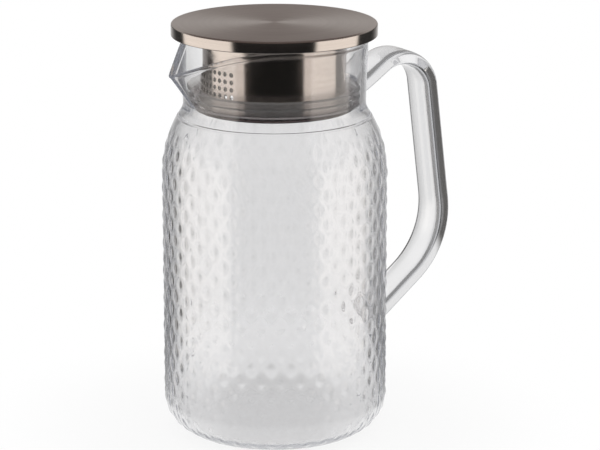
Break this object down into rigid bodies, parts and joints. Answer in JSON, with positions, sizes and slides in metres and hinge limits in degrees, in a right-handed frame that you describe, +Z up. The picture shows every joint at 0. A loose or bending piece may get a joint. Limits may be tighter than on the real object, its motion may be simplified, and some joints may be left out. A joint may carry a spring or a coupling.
{
  "type": "carafe",
  "caption": "Clear plastic carafe with a diamond relief, pouring beak, bonded strip handle and a lift-off steel lid with strainer sleeve and silicone ring.",
  "frame": {"origin": "centre of the flat base, on the axis of the vessel", "axes": "+Z up along the axis of the vessel, -X towards the pouring beak, +X towards the handle"},
  "size_m": [0.157, 0.115, 0.2118],
  "materials": {
    "clear_plastic": "clear, glossy, moulded with low diamond facets",
    "brushed_steel": "spun and brushed, warm grey",
    "silicone": "grey, translucent, satin"
  },
  "bodies": {
    "carafe": {"carafe_body": "clear_plastic", "handle": "clear_plastic"},
    "seal": {"seal_ring": "silicone"},
    "lid": {"lid_cap": "brushed_steel", "lid_base_plate": "brushed_steel", "strainer_sleeve": "brushed_steel"}
  },
  "joints": [
    {"name": "lid_lift", "type": "slide", "parent": "carafe", "child": "seal", "axis": [0, 0, 1], "range_m": [0, 0.06]},
    {"name": "lid_turn", "type": "hinge", "parent": "seal", "child": "lid", "pos_m": [0, 0, 0.175], "axis": [0, 0, 1], "continuous": true}
  ]
}
